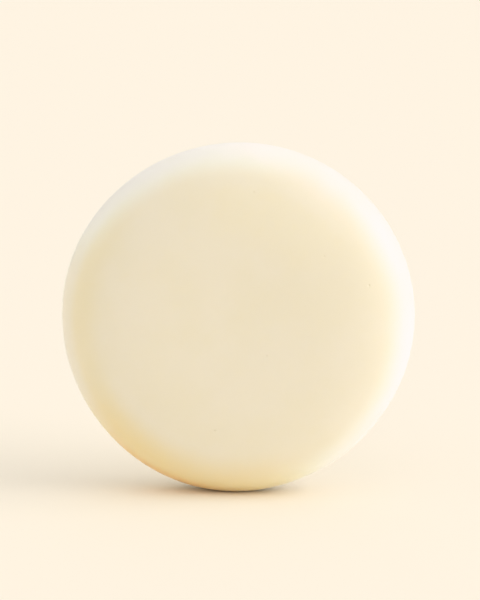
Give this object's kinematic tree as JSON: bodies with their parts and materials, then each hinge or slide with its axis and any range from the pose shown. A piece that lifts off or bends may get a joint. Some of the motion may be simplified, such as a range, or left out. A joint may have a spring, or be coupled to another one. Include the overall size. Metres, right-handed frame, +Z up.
{
  "type": "shaving soap puck",
  "caption": "Round puck of hard shaving soap: a thick cream disc with flat faces and softly rolled edges, standing on its rim.",
  "frame": {"origin": "the lowest point of the rim, midway between the two faces, on the surface that the puck stands on", "axes": "+Z up; the puck's own axis runs along Y, with the front face looking along -Y; +X to the right of the front view"},
  "size_m": [0.075, 0.023, 0.075],
  "materials": {
    "soap": "satin"
  },
  "bodies": {
    "root": {"soap_puck": "soap"}
  },
  "joints": []
}
